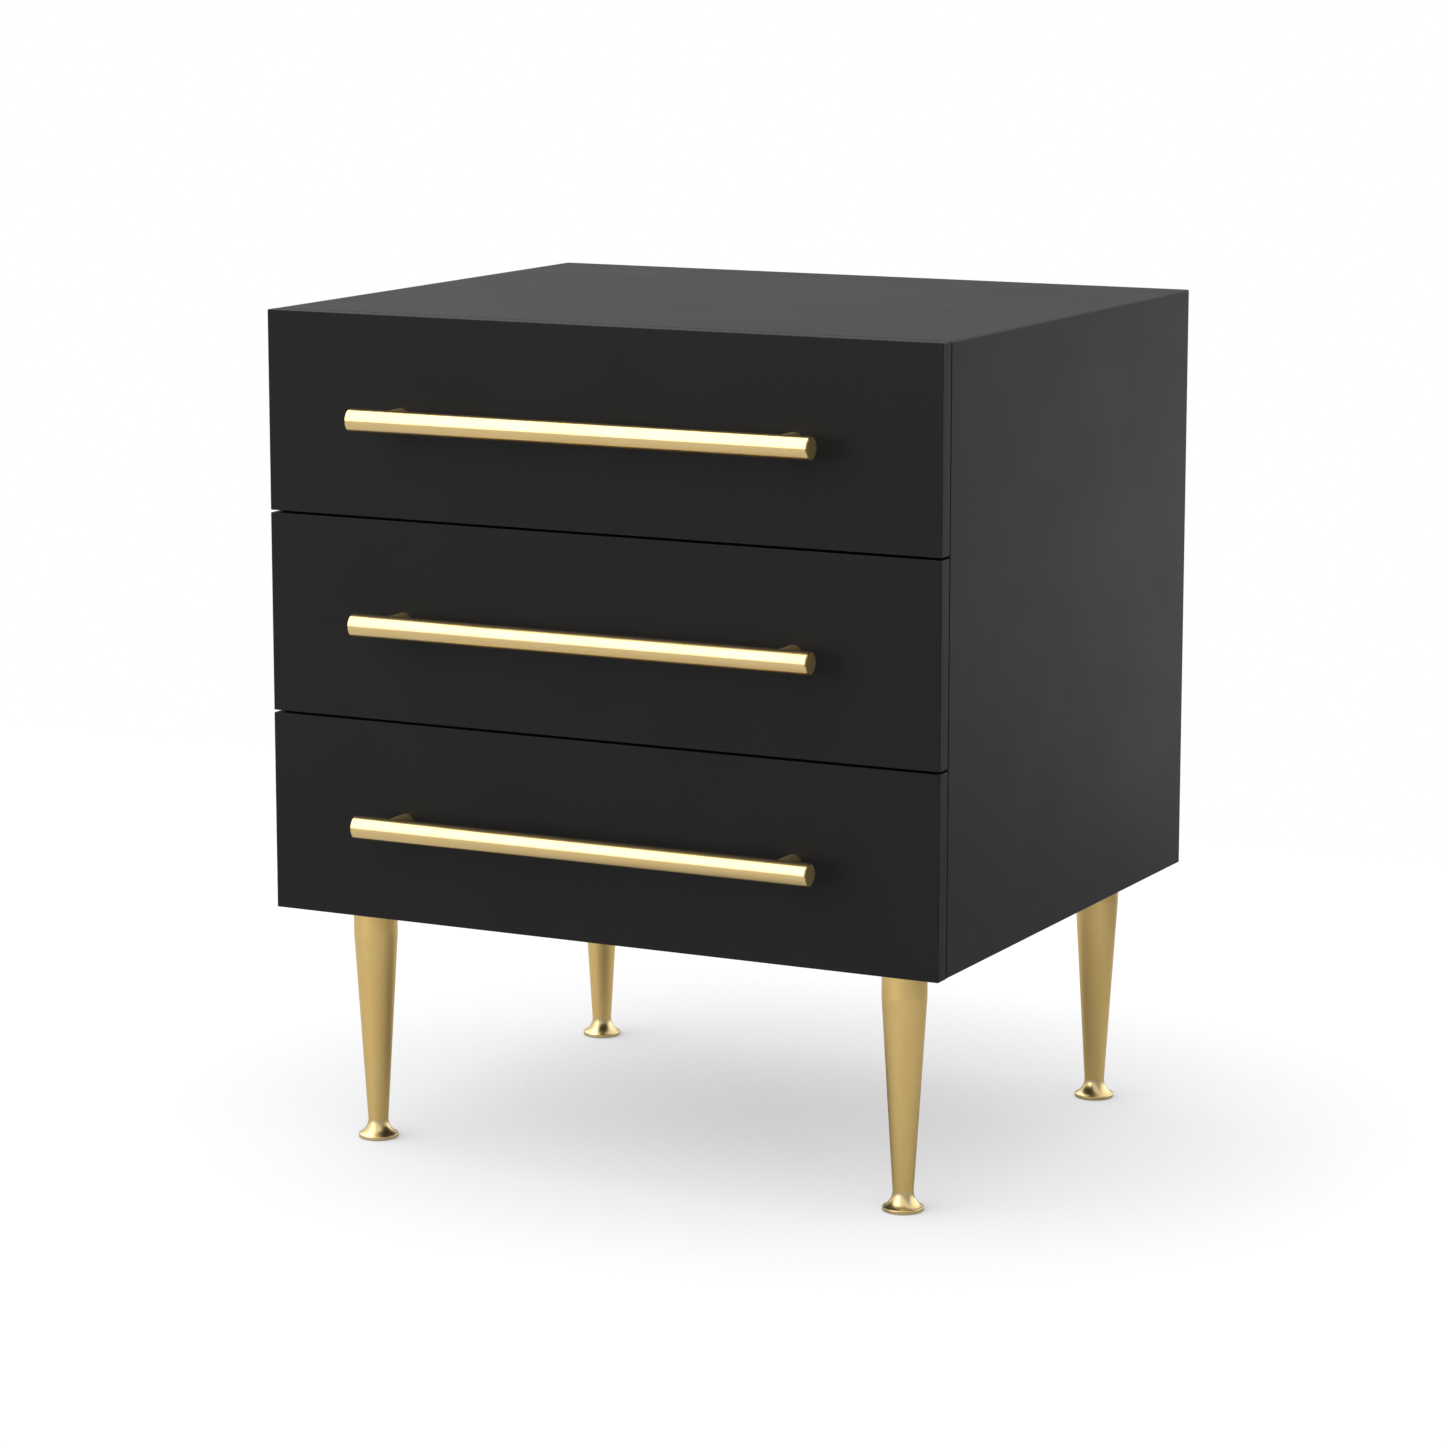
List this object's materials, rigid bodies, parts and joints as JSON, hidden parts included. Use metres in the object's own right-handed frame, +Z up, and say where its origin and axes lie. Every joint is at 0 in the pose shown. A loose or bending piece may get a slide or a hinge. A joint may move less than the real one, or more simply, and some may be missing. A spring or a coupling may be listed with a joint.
{
  "type": "nightstand",
  "caption": "Bedside cabinet with a mitred black lacquered case, full-width overlay drawers on ball-bearing runners, round brass bar pulls and turned tapered legs with flared feet.",
  "frame": {"origin": "on the floor under the felt pads, at the middle of the whole object's bounding box, handles included", "axes": "+Z up, +Y towards the back, +X to the right seen from the front; the drawers open along -Y"},
  "size_m": [0.61, 0.5515, 0.711],
  "materials": {
    "black_lacquer": "black satin lacquer on MDF",
    "back_board": "black painted board",
    "drawer_wood": "clear-coated birch plywood",
    "beech": "plain beech",
    "pull_brass": "fine-turned satin, lacquered",
    "satin_brass": "satin, lacquered",
    "polished_brass": "polished",
    "zinc_screws": "bright zinc",
    "zinc_runner": "zinc-plated pressed steel",
    "plate_steel": "zinc-plated steel plate",
    "felt": "pressed felt",
    "clear_bumper": "soft clear polyurethane"
  },
  "bodies": {
    "cabinet": {"top_panel": "black_lacquer", "bottom_panel": "black_lacquer", "left_side_panel": "black_lacquer", "right_side_panel": "black_lacquer", "back_panel": "back_board", "upper_rail": "black_lacquer", "lower_rail": "black_lacquer", "case_dowels": "beech", "back_panel_screws": "zinc_screws", "case_screws": "zinc_screws", "front_bumpers": "clear_bumper", "front_left_leg": "satin_brass", "front_right_leg": "satin_brass", "back_left_leg": "satin_brass", "back_right_leg": "satin_brass", "front_left_foot": "polished_brass", "front_right_foot": "polished_brass", "back_left_foot": "polished_brass", "back_right_foot": "polished_brass", "foot_pads": "felt", "leg_plates": "plate_steel", "upper_case_runners": "zinc_runner", "middle_case_runners": "zinc_runner", "lower_case_runners": "zinc_runner"},
    "upper_drawer": {"upper_drawer_front": "black_lacquer", "upper_drawer_inner_front": "drawer_wood", "upper_drawer_left_side": "drawer_wood", "upper_drawer_right_side": "drawer_wood", "upper_drawer_back": "drawer_wood", "upper_drawer_bottom": "drawer_wood", "upper_drawer_runners": "zinc_runner", "upper_drawer_screws": "zinc_screws", "upper_handle_bar": "pull_brass", "upper_handle_posts": "pull_brass", "upper_handle_screws": "zinc_screws"},
    "upper_runner_middles": {"upper_mid_runners": "zinc_runner"},
    "middle_drawer": {"middle_drawer_front": "black_lacquer", "middle_drawer_inner_front": "drawer_wood", "middle_drawer_left_side": "drawer_wood", "middle_drawer_right_side": "drawer_wood", "middle_drawer_back": "drawer_wood", "middle_drawer_bottom": "drawer_wood", "middle_drawer_runners": "zinc_runner", "middle_drawer_screws": "zinc_screws", "middle_handle_bar": "pull_brass", "middle_handle_posts": "pull_brass", "middle_handle_screws": "zinc_screws"},
    "middle_runner_middles": {"middle_mid_runners": "zinc_runner"},
    "lower_drawer": {"lower_drawer_front": "black_lacquer", "lower_drawer_inner_front": "drawer_wood", "lower_drawer_left_side": "drawer_wood", "lower_drawer_right_side": "drawer_wood", "lower_drawer_back": "drawer_wood", "lower_drawer_bottom": "drawer_wood", "lower_drawer_runners": "zinc_runner", "lower_drawer_screws": "zinc_screws", "lower_handle_bar": "pull_brass", "lower_handle_posts": "pull_brass", "lower_handle_screws": "zinc_screws"},
    "lower_runner_middles": {"lower_mid_runners": "zinc_runner"}
  },
  "joints": [
    {"name": "upper_drawer_slide", "type": "slide", "parent": "cabinet", "child": "upper_drawer", "axis": [0, -1, 0], "range_m": [0, 0.44]},
    {"name": "upper_runner_slide", "type": "slide", "parent": "cabinet", "child": "upper_runner_middles", "axis": [0, -1, 0], "range_m": [0, 0.22]},
    {"name": "middle_drawer_slide", "type": "slide", "parent": "cabinet", "child": "middle_drawer", "axis": [0, -1, 0], "range_m": [0, 0.44]},
    {"name": "middle_runner_slide", "type": "slide", "parent": "cabinet", "child": "middle_runner_middles", "axis": [0, -1, 0], "range_m": [0, 0.22]},
    {"name": "lower_drawer_slide", "type": "slide", "parent": "cabinet", "child": "lower_drawer", "axis": [0, -1, 0], "range_m": [0, 0.44]},
    {"name": "lower_runner_slide", "type": "slide", "parent": "cabinet", "child": "lower_runner_middles", "axis": [0, -1, 0], "range_m": [0, 0.22]}
  ],
  "couplings": [
    {"joint": "upper_runner_slide", "follows": "upper_drawer_slide", "ratio": 0.5},
    {"joint": "middle_runner_slide", "follows": "middle_drawer_slide", "ratio": 0.5},
    {"joint": "lower_runner_slide", "follows": "lower_drawer_slide", "ratio": 0.5}
  ]
}
